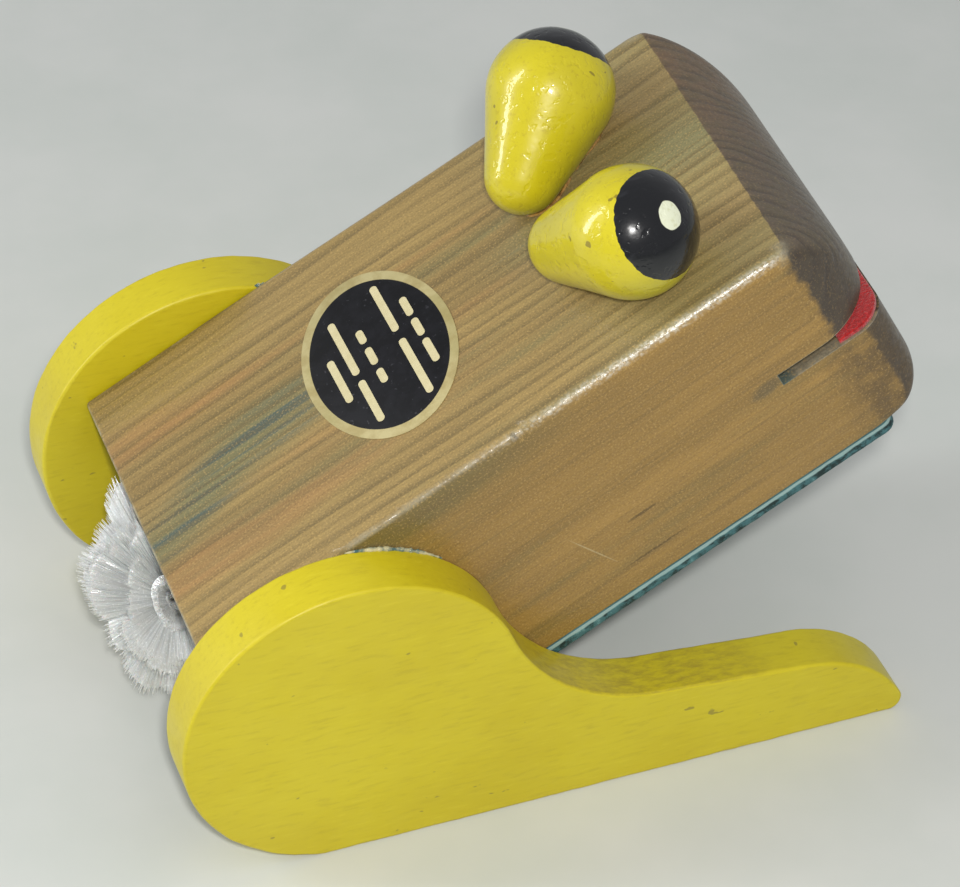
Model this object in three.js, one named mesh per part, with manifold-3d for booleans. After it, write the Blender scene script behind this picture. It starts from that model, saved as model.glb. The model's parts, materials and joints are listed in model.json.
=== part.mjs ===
// A wooden frog money bank. Units are millimetres, +X is the frog's forward, +Y its left, +Z up.
// The body group is drawn level, its top face at z = 0 and its rear face at x = 0, and then
// pitched nose up. The two leg boards stand level on the floor at z = 0.
import * as THREE from 'three';
import { mergeVertices } from 'three/addons/utils/BufferGeometryUtils.js';
import Module from 'manifold-3d';

const wasm = await Module();
wasm.setup();

// Body block
const BODY_WIDTH = 80;
const BODY_HEIGHT = 57.3;
const BODY_PITCH = THREE.MathUtils.degToRad(29.7);
const BODY_X = -72.5;
const BODY_Z = 54.5;
const SNOUT_X = 151;
const SNOUT_TOP_RADIUS = 28;
const SNOUT_TOP_CENTRE_Z = -22;
const SNOUT_BOTTOM_RADIUS = 9;
const UPPER_CORNER_RADIUS = 15;
const LOWER_CORNER_RADIUS = 7;
const SNOUT_SKEW = 0.03;
const SKEW_START_X = 134.4;
const MOUTH_TOP_Z = -27.6;
const MOUTH_FLOOR_Z = -30.7;
const MOUTH_END_X = 124.4;
const LIP_RADIUS = 3;

// Coin chamber, cut from below
const CHAMBER_REAR_X = 24;
const CHAMBER_FRONT_X = 130;
const CHAMBER_WIDTH = 52;
const CHAMBER_TOP_Z = -14;
const CHAMBER_CORNER = 1.5;

// Bottom plate with its stopper
const PLATE_THICKNESS = 3;
const PLATE_TOP_Z = -BODY_HEIGHT - 0.1;
const PLATE_FRONT_X = 140.7;
const PLATE_FRONT_CORNER = 3;
const PLUG_X = 72;
const PLUG_RADIUS = 15;
const PLUG_CLEARANCE = 0.08;
const PLUG_FLANGE_RADIUS = 17.4;
const PLUG_FLANGE_HEIGHT = 1.3;
const PLUG_HEIGHT = 7;
const PLUG_DROP = 1.4;

// Legs
const LEG_THICKNESS = 11.9;
const LEG_GAP = 0.05;
const LEG_EDGE = 0.7;
const RIGHT_THIGH = { x: -43.3, z: 35.4, radius: 36 };
const LEFT_THIGH = { x: -43.6, z: 38.4, radius: 38.8 };
const THROAT_RADIUS = 40;
const FOOT_TOP_X = 25.2;
const FOOT_TOP_Z = 23.2;
const FOOT_TOP_SLOPE = -0.1;
const TOE_X = 81.8;
const TOE_RADIUS = 30;
const TOE_TIP_RADIUS = 3;

// Eyes: two spheres joined by their common tangent cone
const EYE_Z = 12.85;
const EYE_RADIUS = 13.3;
const EYE_SMALL_RADIUS = 7.9;
const EYE_LENGTH = 18.45;
const EYE_RISE = THREE.MathUtils.degToRad(17.2);
const EYE_PIN_BACK = 3;
const EYE_PIN_IN = 2;
const EYE_GLUE = 0.2;

// Screws of the bottom plate
const SCREW_HEAD_RADIUS = 2.6;
const SCREW_HEAD_DEPTH = 2.1;
const SCREW_SHANK_RADIUS = 1.25;
const SCREW_LENGTH = 13;
const SCREW_TIP = 2;
const SCREW_SLOT_WIDTH = 0.7;
const SCREW_SLOT_DEPTH = 0.7;

// Tail
const TAIL_Z = -24;
const TUFT_DEPTH = 24;
const TUFT_WIDTH = 29;
const TUFT_HEIGHT = 23;
const TUFT_REAR_GAP = 0.4;
const TACK_HOLE_RADIUS = 1.2;
const TACK_RECESS_RADIUS = 3.2;
const TACK_RECESS_X = -11.6;

// Label and tongue
const LABEL_X = 60.1;
const LABEL_Y = 1;
const LABEL_HALF_LENGTH = 16.8;
const LABEL_HALF_WIDTH = 23.9;
const LABEL_THICKNESS = 0.2;
const TONGUE_BACK_X = 139.5;
const TONGUE_THICKNESS = 1.3;

const DOWEL_RADIUS = 3.9;
const PIN_RADIUS = 2.4;
const HOLE_CLEARANCE = 0.1;

const model = new THREE.Group();
const bodyGroup = new THREE.Group();
bodyGroup.position.set(BODY_X, 0, BODY_Z);
bodyGroup.rotation.y = -BODY_PITCH;
model.add(bodyGroup);

function solid(geometry) {
  const bare = geometry.clone();
  bare.deleteAttribute('normal');
  bare.deleteAttribute('uv');
  const merged = mergeVertices(bare, 1e-4);
  return new wasm.Manifold(new wasm.Mesh({
    numProp: 3,
    vertProperties: new Float32Array(merged.attributes.position.array),
    triVerts: new Uint32Array(merged.index.array),
  }));
}

function addPiece(group, name, shape, color, roughness) {
  let geometry = shape;
  if (!shape.isBufferGeometry) {
    const mesh = shape.getMesh();
    geometry = new THREE.BufferGeometry();
    geometry.setAttribute('position', new THREE.BufferAttribute(mesh.vertProperties, 3));
    geometry.setIndex(new THREE.BufferAttribute(mesh.triVerts, 1));
    geometry = geometry.toNonIndexed();
    geometry.computeVertexNormals();
  }
  const material = new THREE.MeshStandardMaterial({ color, roughness, name });
  const mesh = new THREE.Mesh(geometry, material);
  mesh.name = name;
  group.add(mesh);
}

// A shape drawn in x and z, extruded over the width from yLow to yHigh
function extrudeAcross(shape, yLow, yHigh, curveSegments = 14) {
  const geometry = new THREE.ExtrudeGeometry(shape, {
    depth: yHigh - yLow,
    bevelEnabled: false,
    curveSegments,
  });
  geometry.rotateX(Math.PI / 2);
  geometry.translate(0, yHigh, 0);
  return geometry;
}

// A shape drawn in x and y, extruded upwards from zLow to zHigh
function extrudeUp(shape, zLow, zHigh, curveSegments = 14) {
  const geometry = new THREE.ExtrudeGeometry(shape, {
    depth: zHigh - zLow,
    bevelEnabled: false,
    curveSegments,
  });
  geometry.translate(0, 0, zLow);
  return geometry;
}

function box(xLow, xHigh, yLow, yHigh, zLow, zHigh) {
  const geometry = new THREE.BoxGeometry(xHigh - xLow, yHigh - yLow, zHigh - zLow);
  geometry.translate((xLow + xHigh) / 2, (yLow + yHigh) / 2, (zLow + zHigh) / 2);
  return geometry;
}

// A round bar from point a to point b
function bar(a, b, radius, segments = 32) {
  const start = new THREE.Vector3(...a);
  const along = new THREE.Vector3(...b).sub(start);
  const geometry = new THREE.CylinderGeometry(radius, radius, along.length(), segments);
  geometry.translate(0, along.length() / 2, 0);
  const turn = new THREE.Quaternion().setFromUnitVectors(
    new THREE.Vector3(0, 1, 0), along.clone().normalize());
  geometry.applyQuaternion(turn);
  geometry.translate(start.x, start.y, start.z);
  return geometry;
}

// A rectangle with rounded corners, in x and y
function roundedRectangle(xLow, xHigh, yLow, yHigh, rearRadius, frontRadius) {
  const shape = new THREE.Shape();
  shape.moveTo(xLow + rearRadius, yLow);
  shape.lineTo(xHigh - frontRadius, yLow);
  shape.absarc(xHigh - frontRadius, yLow + frontRadius, frontRadius, -Math.PI / 2, 0, false);
  shape.lineTo(xHigh, yHigh - frontRadius);
  shape.absarc(xHigh - frontRadius, yHigh - frontRadius, frontRadius, 0, Math.PI / 2, false);
  shape.lineTo(xLow + rearRadius, yHigh);
  if (rearRadius > 0) {
    shape.absarc(xLow + rearRadius, yHigh - rearRadius, rearRadius, Math.PI / 2, Math.PI, false);
    shape.lineTo(xLow, yLow + rearRadius);
    shape.absarc(xLow + rearRadius, yLow + rearRadius, rearRadius, Math.PI, Math.PI * 1.5, false);
  } else {
    shape.lineTo(xLow, yLow);
  }
  return shape;
}

// The snout was sanded slightly out of square: x grows a little towards the frog's left.
function skewSnout(geometry) {
  const position = geometry.attributes.position;
  for (let i = 0; i < position.count; i += 1) {
    const x = position.getX(i);
    if (x > SKEW_START_X) {
      position.setX(i, x + SNOUT_SKEW * position.getY(i));
    }
  }
  return geometry;
}

// Side view of the block in x and z, with the saw cut of the mouth open at the snout
function bodyProfile() {
  const arcX = SNOUT_X - SNOUT_TOP_RADIUS;
  const startAngle = Math.asin(-SNOUT_TOP_CENTRE_Z / SNOUT_TOP_RADIUS);
  const shape = new THREE.Shape();
  shape.moveTo(0, -BODY_HEIGHT);
  shape.lineTo(SNOUT_X - SNOUT_BOTTOM_RADIUS, -BODY_HEIGHT);
  shape.absarc(SNOUT_X - SNOUT_BOTTOM_RADIUS, -BODY_HEIGHT + SNOUT_BOTTOM_RADIUS,
    SNOUT_BOTTOM_RADIUS, -Math.PI / 2, 0, false);
  shape.lineTo(SNOUT_X, MOUTH_FLOOR_Z);
  shape.lineTo(MOUTH_END_X, MOUTH_FLOOR_Z);
  shape.lineTo(MOUTH_END_X, MOUTH_TOP_Z);
  shape.lineTo(SNOUT_X - LIP_RADIUS, MOUTH_TOP_Z);
  shape.absarc(SNOUT_X - LIP_RADIUS, MOUTH_TOP_Z + LIP_RADIUS, LIP_RADIUS, -Math.PI / 2, 0, false);
  shape.absarc(arcX, SNOUT_TOP_CENTRE_Z, SNOUT_TOP_RADIUS, 0, startAngle, false);
  shape.lineTo(0, 0);
  shape.closePath();
  return shape;
}

const halfWidth = BODY_WIDTH / 2;
const planOutline = (xLow, inset, cornerRadius) => roundedRectangle(
  xLow, SNOUT_X - inset, -halfWidth + inset, halfWidth - inset, 0, cornerRadius);

// Pegs that hold the legs and the eyes: where they sit in the level body group
const legPegs = [{ x: 12, z: -16 }, { x: 33, z: -38 }];
// Sawn and glued by hand: the left thigh is a little larger, and the eyes aren't quite a mirrored pair.
const sides = [
  { name: 'right', sign: -1, thigh: RIGHT_THIGH,
    eyeX: 116.3, eyeY: -24.5, splay: THREE.MathUtils.degToRad(-47.7) },
  { name: 'left', sign: 1, thigh: LEFT_THIGH,
    eyeX: 118.5, eyeY: 23.1, splay: THREE.MathUtils.degToRad(36.2) },
];
const eyePin = (side) => ({
  x: side.eyeX - EYE_PIN_BACK,
  y: side.eyeY - side.sign * EYE_PIN_IN,
});
const screwSpots = [[11, -33], [11, 33], [134, -30], [134, 30]];

// Body block. The upper jaw's corners are sanded rounder than the lower jaw's.
const jawSplitZ = (MOUTH_TOP_Z + MOUTH_FLOOR_Z) / 2;
const upperPlan = solid(skewSnout(extrudeUp(
  planOutline(-1, 0, UPPER_CORNER_RADIUS), jawSplitZ - 0.1, 1)));
const lowerPlan = solid(skewSnout(extrudeUp(
  planOutline(-1, 0, LOWER_CORNER_RADIUS), -BODY_HEIGHT - 1, jawSplitZ + 0.1)));
let block = solid(skewSnout(extrudeAcross(bodyProfile(), -halfWidth, halfWidth)));
block = block.intersect(upperPlan.add(lowerPlan));
const chamber = roundedRectangle(CHAMBER_REAR_X, CHAMBER_FRONT_X,
  -CHAMBER_WIDTH / 2, CHAMBER_WIDTH / 2, CHAMBER_CORNER, CHAMBER_CORNER);
block = block.subtract(solid(extrudeUp(chamber, -BODY_HEIGHT - 1, CHAMBER_TOP_Z, 3)));
for (const side of sides) {
  for (const peg of legPegs) {
    block = block.subtract(solid(bar([peg.x, side.sign * 29.5, peg.z],
      [peg.x, side.sign * 41, peg.z], DOWEL_RADIUS + HOLE_CLEARANCE)));
  }
  const pin = eyePin(side);
  block = block.subtract(solid(bar([pin.x, pin.y, -8], [pin.x, pin.y, 1],
    PIN_RADIUS + HOLE_CLEARANCE)));
}
for (const [x, y] of screwSpots) {
  block = block.subtract(solid(bar([x, y, -BODY_HEIGHT - 1], [x, y, -BODY_HEIGHT + 11.5], 1.4, 16)));
}
block = block.subtract(solid(bar([-1, 0, TAIL_Z], [12, 0, TAIL_Z], 1.2, 16)));
addPiece(bodyGroup, 'body_block', block, 0x8a7442, 0.5);

// Bottom plate: a thin board with its front end rounded, and the coin outlet
const plateBottomZ = PLATE_TOP_Z - PLATE_THICKNESS;
let plate = solid(skewSnout(extrudeUp(roundedRectangle(
  0.2, PLATE_FRONT_X, -halfWidth + 0.1, halfWidth - 0.1, 0, PLATE_FRONT_CORNER),
plateBottomZ, PLATE_TOP_Z)));
plate = plate.subtract(solid(bar([PLUG_X, 0, plateBottomZ - 1], [PLUG_X, 0, PLATE_TOP_Z + 1],
  PLUG_RADIUS, 64)));

function countersunkScrew(headRadius, shankRadius, headDepth, length) {
  const points = [
    [0, 0],
    [headRadius, 0],
    [headRadius, headDepth * 0.25],
    [shankRadius, headDepth],
    [shankRadius, length - SCREW_TIP],
    [0, length],
  ].map(([r, h]) => new THREE.Vector2(r, h));
  const geometry = new THREE.LatheGeometry(points, 20);
  geometry.rotateX(Math.PI / 2);
  return geometry;
}

screwSpots.forEach(([x, y], index) => {
  const seat = countersunkScrew(SCREW_HEAD_RADIUS + 0.2, SCREW_SHANK_RADIUS + 0.25,
    SCREW_HEAD_DEPTH + 0.1, SCREW_LENGTH);
  seat.translate(x, y, plateBottomZ - 0.15);
  plate = plate.subtract(solid(seat));
  const blank = countersunkScrew(SCREW_HEAD_RADIUS, SCREW_SHANK_RADIUS, SCREW_HEAD_DEPTH, SCREW_LENGTH);
  const slot = box(x - SCREW_SLOT_WIDTH / 2, x + SCREW_SLOT_WIDTH / 2, y - 3, y + 3,
    plateBottomZ - 1, plateBottomZ + 0.05 + SCREW_SLOT_DEPTH);
  const screw = solid(blank.translate(x, y, plateBottomZ + 0.05)).subtract(solid(slot));
  addPiece(bodyGroup, `plate_screw_${index + 1}`, screw, 0xb0a070, 0.35);
});
addPiece(bodyGroup, 'bottom_plate', plate, 0x2f7f80, 0.55);

// Stopper of the coin outlet: a flange below the plate, a plug with a waist, a dished grip
const plugFitRadius = PLUG_RADIUS - PLUG_CLEARANCE;
const plugPoints = [
  [0, 0.7],
  [9, 0.7],
  [11, 0],
  [PLUG_FLANGE_RADIUS - 0.8, 0],
  [PLUG_FLANGE_RADIUS, 0.5],
  [PLUG_FLANGE_RADIUS, PLUG_FLANGE_HEIGHT],
  [plugFitRadius, PLUG_FLANGE_HEIGHT],
  [plugFitRadius, PLUG_DROP + PLATE_THICKNESS],
  [PLUG_RADIUS - 0.6, PLUG_HEIGHT - 0.5],
  [PLUG_RADIUS - 2, PLUG_HEIGHT],
  [0, PLUG_HEIGHT],
].map(([r, h]) => new THREE.Vector2(r, h));
const plug = new THREE.LatheGeometry(plugPoints, 64);
plug.rotateX(Math.PI / 2);
plug.translate(PLUG_X, 0, plateBottomZ - PLUG_DROP);
addPiece(bodyGroup, 'coin_plug', solid(plug), 0x2a2a2a, 0.6);

// Tongue: a strip of felt glued flat in the mouth, trimmed to the lower lip
const tongueBottomZ = MOUTH_FLOOR_Z + 0.15;
const felt = solid(skewSnout(extrudeUp(
  planOutline(MOUTH_END_X, 0.3, LOWER_CORNER_RADIUS), tongueBottomZ, tongueBottomZ + TONGUE_THICKNESS)));
addPiece(bodyGroup, 'tongue', felt.intersect(solid(box(TONGUE_BACK_X, 200, -60, 60, -60, 0))),
  0xb01818, 0.95);

// Label
const labelShape = new THREE.Shape();
labelShape.absellipse(LABEL_X, LABEL_Y, LABEL_HALF_LENGTH, LABEL_HALF_WIDTH, 0, Math.PI * 2);
addPiece(bodyGroup, 'label', solid(extrudeUp(labelShape, 0.1, 0.1 + LABEL_THICKNESS, 48)), 0x17171a, 0.4);

// Eyes: turned teardrops lying on a flattened underside
function teardrop() {
  const slope = Math.asin((EYE_RADIUS - EYE_SMALL_RADIUS) / EYE_LENGTH);
  const points = [];
  const steps = 12;
  for (let i = 0; i <= steps; i += 1) {
    const angle = -Math.PI / 2 + (Math.PI / 2 - slope) * (i / steps);
    points.push([Math.cos(angle) * EYE_SMALL_RADIUS, Math.sin(angle) * EYE_SMALL_RADIUS - EYE_LENGTH]);
  }
  for (let i = 0; i <= steps; i += 1) {
    const angle = -slope + (Math.PI / 2 + slope) * (i / steps);
    points.push([Math.cos(angle) * EYE_RADIUS, Math.sin(angle) * EYE_RADIUS]);
  }
  points[0][0] = 0;
  points[points.length - 1][0] = 0;
  return new THREE.LatheGeometry(points.map(([r, h]) => new THREE.Vector2(r, h)), 40);
}

for (const side of sides) {
  const axis = new THREE.Vector3(
    Math.cos(EYE_RISE) * Math.cos(side.splay),
    Math.cos(EYE_RISE) * Math.sin(side.splay),
    Math.sin(EYE_RISE));
  const geometry = teardrop();
  geometry.applyQuaternion(new THREE.Quaternion().setFromUnitVectors(new THREE.Vector3(0, 1, 0), axis));
  geometry.translate(side.eyeX, side.eyeY, EYE_Z);
  const pin = eyePin(side);
  let eye = solid(geometry);
  eye = eye.subtract(solid(box(pin.x - 40, pin.x + 30, pin.y - 30, pin.y + 30, -10, EYE_GLUE)));
  eye = eye.subtract(solid(bar([pin.x, pin.y, -1], [pin.x, pin.y, 8.4], PIN_RADIUS + HOLE_CLEARANCE)));
  addPiece(bodyGroup, `${side.name}_eye`, eye, 0xd8cc18, 0.25);
  addPiece(bodyGroup, `${side.name}_eye_pin`, solid(bar([pin.x, pin.y, -7.7], [pin.x, pin.y, 8],
    PIN_RADIUS)), 0xcbb27c, 0.7);
}

// Tail: a tuft of yarn nailed through its middle to the rear face
const tuft = new THREE.SphereGeometry(1, 28, 16);
tuft.scale(TUFT_DEPTH, TUFT_WIDTH, TUFT_HEIGHT);
tuft.translate(-TUFT_REAR_GAP, 0, TAIL_Z);
const tuftSolid = solid(tuft)
  .subtract(solid(box(-TUFT_REAR_GAP, 60, -60, 60, -90, 60)))
  .subtract(solid(bar([-40, 0, TAIL_Z], [1, 0, TAIL_Z], TACK_HOLE_RADIUS, 16)))
  .subtract(solid(bar([-40, 0, TAIL_Z], [TACK_RECESS_X, 0, TAIL_Z], TACK_RECESS_RADIUS, 24)));
addPiece(bodyGroup, 'tail_tuft', tuftSolid, 0xf2f2f0, 0.6);
const tackPoints = [
  [0, -11.5],
  [1, -10],
  [1, 11.7],
  [2.4, 11.7],
  [2.4, 12.3],
  [1.2, 13],
  [0, 13.1],
].map(([r, h]) => new THREE.Vector2(r, h));
const tack = new THREE.LatheGeometry(tackPoints, 20);
tack.rotateZ(Math.PI / 2);
tack.translate(0, 0, TAIL_Z);
addPiece(bodyGroup, 'tail_tack', solid(tack), 0x7a5530, 0.45);

// Legs: one board each, thigh, throat and foot in one outline
function legShape(thigh) {
  const footZ = (x) => FOOT_TOP_Z + FOOT_TOP_SLOPE * (x - FOOT_TOP_X);
  const lean = Math.atan(FOOT_TOP_SLOPE);
  // Throat arc: touches the thigh's circle from outside and the foot's top line from above
  const lift = THROAT_RADIUS / Math.cos(lean);
  const reach = thigh.radius + THROAT_RADIUS;
  let throatX = thigh.x + reach;
  for (let i = 0; i < 40; i += 1) {
    const dz = footZ(throatX) + lift - thigh.z;
    throatX = thigh.x + Math.sqrt(reach * reach - dz * dz);
  }
  const throatZ = footZ(throatX) + lift;
  const throatStart = Math.atan2(thigh.z - throatZ, thigh.x - throatX);
  const heelX = thigh.x - Math.sqrt(thigh.radius ** 2 - thigh.z ** 2);
  const heelAngle = Math.atan2(-thigh.z, heelX - thigh.x);
  // Toe: a large arc falling from the top line, then a small one round the tip to the sole
  const tipX = TOE_X - TOE_TIP_RADIUS;
  const tipZ = TOE_TIP_RADIUS;
  const toeLift = TOE_RADIUS / Math.cos(lean);
  const gap = TOE_RADIUS - TOE_TIP_RADIUS;
  let toeX = tipX - gap;
  for (let i = 0; i < 40; i += 1) {
    const dz = tipZ - (footZ(toeX) - toeLift);
    toeX = tipX - Math.sqrt(gap * gap - dz * dz);
  }
  const toeZ = footZ(toeX) - toeLift;
  const toeEnd = Math.atan2(tipZ - toeZ, tipX - toeX);
  const shape = new THREE.Shape();
  shape.moveTo(heelX, 0);
  shape.lineTo(tipX, 0);
  shape.absarc(tipX, tipZ, TOE_TIP_RADIUS, -Math.PI / 2, toeEnd, false);
  shape.absarc(toeX, toeZ, TOE_RADIUS, toeEnd, Math.PI / 2 + lean, false);
  shape.absarc(throatX, throatZ, THROAT_RADIUS, -Math.PI / 2 + lean, throatStart - Math.PI * 2, true);
  shape.absarc(thigh.x, thigh.z, thigh.radius, throatStart + Math.PI, heelAngle + Math.PI * 2, false);
  shape.closePath();
  return shape;
}

for (const side of sides) {
  const geometry = new THREE.ExtrudeGeometry(legShape(side.thigh), {
    depth: LEG_THICKNESS - 2 * LEG_EDGE,
    bevelEnabled: true,
    bevelThickness: LEG_EDGE,
    bevelSize: LEG_EDGE,
    bevelOffset: -LEG_EDGE,
    bevelSegments: 1,
    curveSegments: 22,
  });
  geometry.rotateX(Math.PI / 2);
  const inner = side.sign * (halfWidth + LEG_GAP);
  geometry.translate(0, side.sign > 0 ? inner + LEG_THICKNESS - LEG_EDGE : inner - LEG_EDGE, 0);
  let leg = solid(geometry);
  legPegs.forEach((peg, index) => {
    const spot = new THREE.Vector3(peg.x, 0, peg.z);
    spot.applyAxisAngle(new THREE.Vector3(0, 1, 0), -BODY_PITCH);
    const x = spot.x + BODY_X;
    const z = spot.z + BODY_Z;
    leg = leg.subtract(solid(bar([x, side.sign * 39, z], [x, side.sign * 48, z],
      DOWEL_RADIUS + HOLE_CLEARANCE)));
    addPiece(model, `${side.name}_leg_dowel_${index + 1}`, solid(bar([x, side.sign * 29.8, z],
      [x, side.sign * 47.8, z], DOWEL_RADIUS)), 0xcbb27c, 0.7);
  });
  addPiece(model, `${side.name}_leg`, leg, 0xd9cc14, 0.4);
}

export default model;
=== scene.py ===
"""Looks of a wooden frog money bank: stained block, painted board legs and eyes, felt tongue, yarn tail.

The block's pieces are built level, with x along the block, y to its left and z up from its top face,
and are placed by the BLOCK matrix, so the wood grain runs true in object coordinates. All lengths are metres.
"""

import json
import math

import bmesh
import bpy
import numpy as np
from mathutils import Matrix, Vector, noise


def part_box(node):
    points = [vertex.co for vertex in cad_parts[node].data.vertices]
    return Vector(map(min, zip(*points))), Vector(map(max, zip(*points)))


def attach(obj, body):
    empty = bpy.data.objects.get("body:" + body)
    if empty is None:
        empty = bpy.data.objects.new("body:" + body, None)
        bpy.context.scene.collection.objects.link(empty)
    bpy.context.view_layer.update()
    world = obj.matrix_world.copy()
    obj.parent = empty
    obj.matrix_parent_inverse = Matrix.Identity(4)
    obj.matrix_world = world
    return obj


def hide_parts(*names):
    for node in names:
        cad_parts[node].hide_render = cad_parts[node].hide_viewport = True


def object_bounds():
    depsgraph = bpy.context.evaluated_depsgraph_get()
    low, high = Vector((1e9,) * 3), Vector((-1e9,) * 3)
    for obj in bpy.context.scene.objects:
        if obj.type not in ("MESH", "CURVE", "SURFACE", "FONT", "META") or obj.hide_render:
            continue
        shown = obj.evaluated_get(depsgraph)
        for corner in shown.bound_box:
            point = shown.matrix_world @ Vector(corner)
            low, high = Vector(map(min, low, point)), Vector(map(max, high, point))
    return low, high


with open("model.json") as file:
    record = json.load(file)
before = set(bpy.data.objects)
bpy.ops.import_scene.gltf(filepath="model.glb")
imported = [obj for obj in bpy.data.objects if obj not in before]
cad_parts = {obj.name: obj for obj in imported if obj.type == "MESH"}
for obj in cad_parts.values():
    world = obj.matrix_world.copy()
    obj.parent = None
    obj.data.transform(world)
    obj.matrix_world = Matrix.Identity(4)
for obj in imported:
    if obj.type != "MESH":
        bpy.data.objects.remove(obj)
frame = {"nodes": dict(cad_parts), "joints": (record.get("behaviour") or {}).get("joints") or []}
cad_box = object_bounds()

QUARTER = math.pi / 2

# Block
HALF_WIDTH = 0.040
BLOCK_HEIGHT = 0.0573
SNOUT_X = 0.151
SNOUT_TOP_RADIUS = 0.028
SNOUT_TOP_CENTRE_Z = -0.022
CREASE_RADIUS = 0.0018
SNOUT_BOTTOM_RADIUS = 0.009
UPPER_CORNER_RADIUS = 0.015
LOWER_CORNER_RADIUS = 0.007
SNOUT_SKEW = 0.03
SKEW_START_X = 0.128
SKEW_END_X = 0.1344
LONG_EDGE_RADIUS = 0.0010
FRONT_EDGE_GROWTH = 0.0019
SNOUT_EDGE_GROWTH = 0.0026
MOUTH_END_X = 0.1244
MOUTH_TOP_Z = -0.0276
MOUTH_FLOOR_Z = -0.0307
LIP_RADIUS = 0.003
CHAMBER_X = (0.024, 0.130)
CHAMBER_HALF_WIDTH = 0.026
CHAMBER_TOP_Z = -0.014
CHAMBER_CORNER = 0.0015

# The snout's arc starts after a small crease; chips of the left top edge are (middle, depth)
ARC_X = SNOUT_X - SNOUT_TOP_RADIUS
CREASE_X = ARC_X + math.sqrt(
    (SNOUT_TOP_RADIUS - CREASE_RADIUS) ** 2 - (-SNOUT_TOP_CENTRE_Z - CREASE_RADIUS) ** 2)
CREASE_END_X = ARC_X + (CREASE_X - ARC_X) * SNOUT_TOP_RADIUS / (SNOUT_TOP_RADIUS - CREASE_RADIUS)
CHIPS = [(0.0326, 0.0016), (0.0480, 0.0008), (0.0767, 0.0013)]
CHIP_LENGTH = 0.0016

# Bottom plate and stopper
PLATE_TOP_Z = -0.0574
PLATE_THICKNESS = 0.003
PLATE_X = (0.0002, 0.1407)
PLATE_HALF_WIDTH = 0.0399
PLUG_X = 0.072
PLUG_RADIUS = 0.015
SCREW_SPOTS = [(0.011, -0.033), (0.011, 0.033), (0.134, -0.030), (0.134, 0.030)]

# Legs
THIGH_RADIUS = {"right": 0.036, "left": 0.0388}
THROAT_RADIUS = 0.040
FOOT_TOP_BACK = 0.0566
FOOT_TOP_Z = 0.0232
FOOT_SLOPE = -0.1
TOE_RADIUS = 0.030
TOE_TIP_RADIUS = 0.003

# Eyes
EYES = [
    ("right", (0.1163, -0.0245, 0.01285), math.radians(-47.7)),
    ("left", (0.1185, 0.0231, 0.01285), math.radians(36.2)),
]
EYE_RADIUS = 0.0133
EYE_SMALL_RADIUS = 0.0079
EYE_LENGTH = 0.01845
EYE_RISE = math.radians(17.2)
EYE_GLUE = 0.0002
CAP_RISE = math.radians(21.4)
CAP_HALF_ANGLE = math.radians(54.3)
DOT_RISE = math.radians(27.8)
DOT_HALF = (0.00295, 0.00250)

# Label and tongue
LABEL_X = 0.0601
LABEL_Y = 0.001
LABEL_HALF = (0.0168, 0.0239)
LABEL_THICKNESS = 0.0002
TONGUE_BACK_X = 0.1395
TONGUE_THICKNESS = 0.0013
TONGUE_GAP = 0.0003

# Tail
TAIL_Z = -0.024
TUFT_DEPTH = 0.024
TUFT_HALF_WIDTH = 0.029
TUFT_HALF_HEIGHT = 0.023
TUFT_FACE_X = -0.0009
TUFT_ROOT = Vector((-0.0050, 0.0, TAIL_Z))
# The yarn parts above the tack; layers of fans: degrees from the parting, fans all round, share of full reach
PARTING = Vector((-0.09, -0.70, 0.70)).normalized()
FAN_LAYERS = [(150, 6, 0.95), (128, 9, 1.0), (108, 12, 1.0), (90, 12, 1.04), (72, 10, 0.94), (54, 8, 0.74),
              (34, 6, 0.46), (14, 4, 0.34)]
FAN_BEND = 0.20
FAN_BULGE = 0.12
FAN_THICKNESS = 0.16
FAN_ROUNDING = 0.13
FAN_STEPS = 12
FAN_COLUMNS = 36
STRANDS_PER_RADIAN = 520
STRAND_STEPS = 5
BRUSH_SHARE = 0.30

# Camera and lights
CAMERA_TARGET_OFFSET = Vector((0.0010, -0.0028, -0.0113))
CAMERA_FORWARD = Vector((0.2881, 0.7046, -0.6485)).normalized()
CAMERA_DISTANCE = 0.7182
CAMERA_ROLL = math.radians(2.29)
CAMERA_LENS = 128.76
WINDOW_PLACE = Vector((-0.894, 0.290, 0.420)).normalized() * 1.1
FLASH_PLACE = Vector((0.015, 0.0, 0.035))
FILL_PLACE = Vector((0.2, -0.5, 1.1))
SKY_STRENGTH = 0.37


def block_matrix():
    """Places level block coordinates in the shared frame; the stopper's joint points out of the block."""
    up = -Vector(frame["joints"][0]["axis"]).normalized()
    forward = Vector((up.z, 0.0, -up.x))
    low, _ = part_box("body_block")
    origin = Vector((low.x, 0.0, low.z + BLOCK_HEIGHT * up.z))
    rotation = Matrix((forward, Vector((0, 1, 0)), up)).transposed()
    return Matrix.Translation(origin) @ rotation.to_4x4()


BLOCK = block_matrix()
LEVEL = Matrix.Identity(4)


# ---------------------------------------------------------------- mesh helpers


def smoothstep(low, high, value):
    t = min(max((value - low) / (high - low), 0.0), 1.0)
    return t * t * (3 - 2 * t)


def add_object(name, data):
    thing = bpy.data.objects.new(name, data)
    bpy.context.scene.collection.objects.link(thing)
    return thing


def make_object(name, tubes, matrix, smooth_angle):
    """A mesh object made of closed tubes, each a list of equal rings, with its faces pointing out."""
    vertices = []
    faces = []
    for rings in tubes:
        faces += bridge(len(rings), len(rings[0]), len(vertices))
        vertices += [tuple(point) for ring in rings for point in ring]
    mesh = bpy.data.meshes.new(name)
    mesh.from_pydata(vertices, [], faces)
    thing = add_object(name, mesh)
    thing.matrix_world = matrix
    tidy_mesh(thing, smooth_angle)
    return thing


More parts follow.
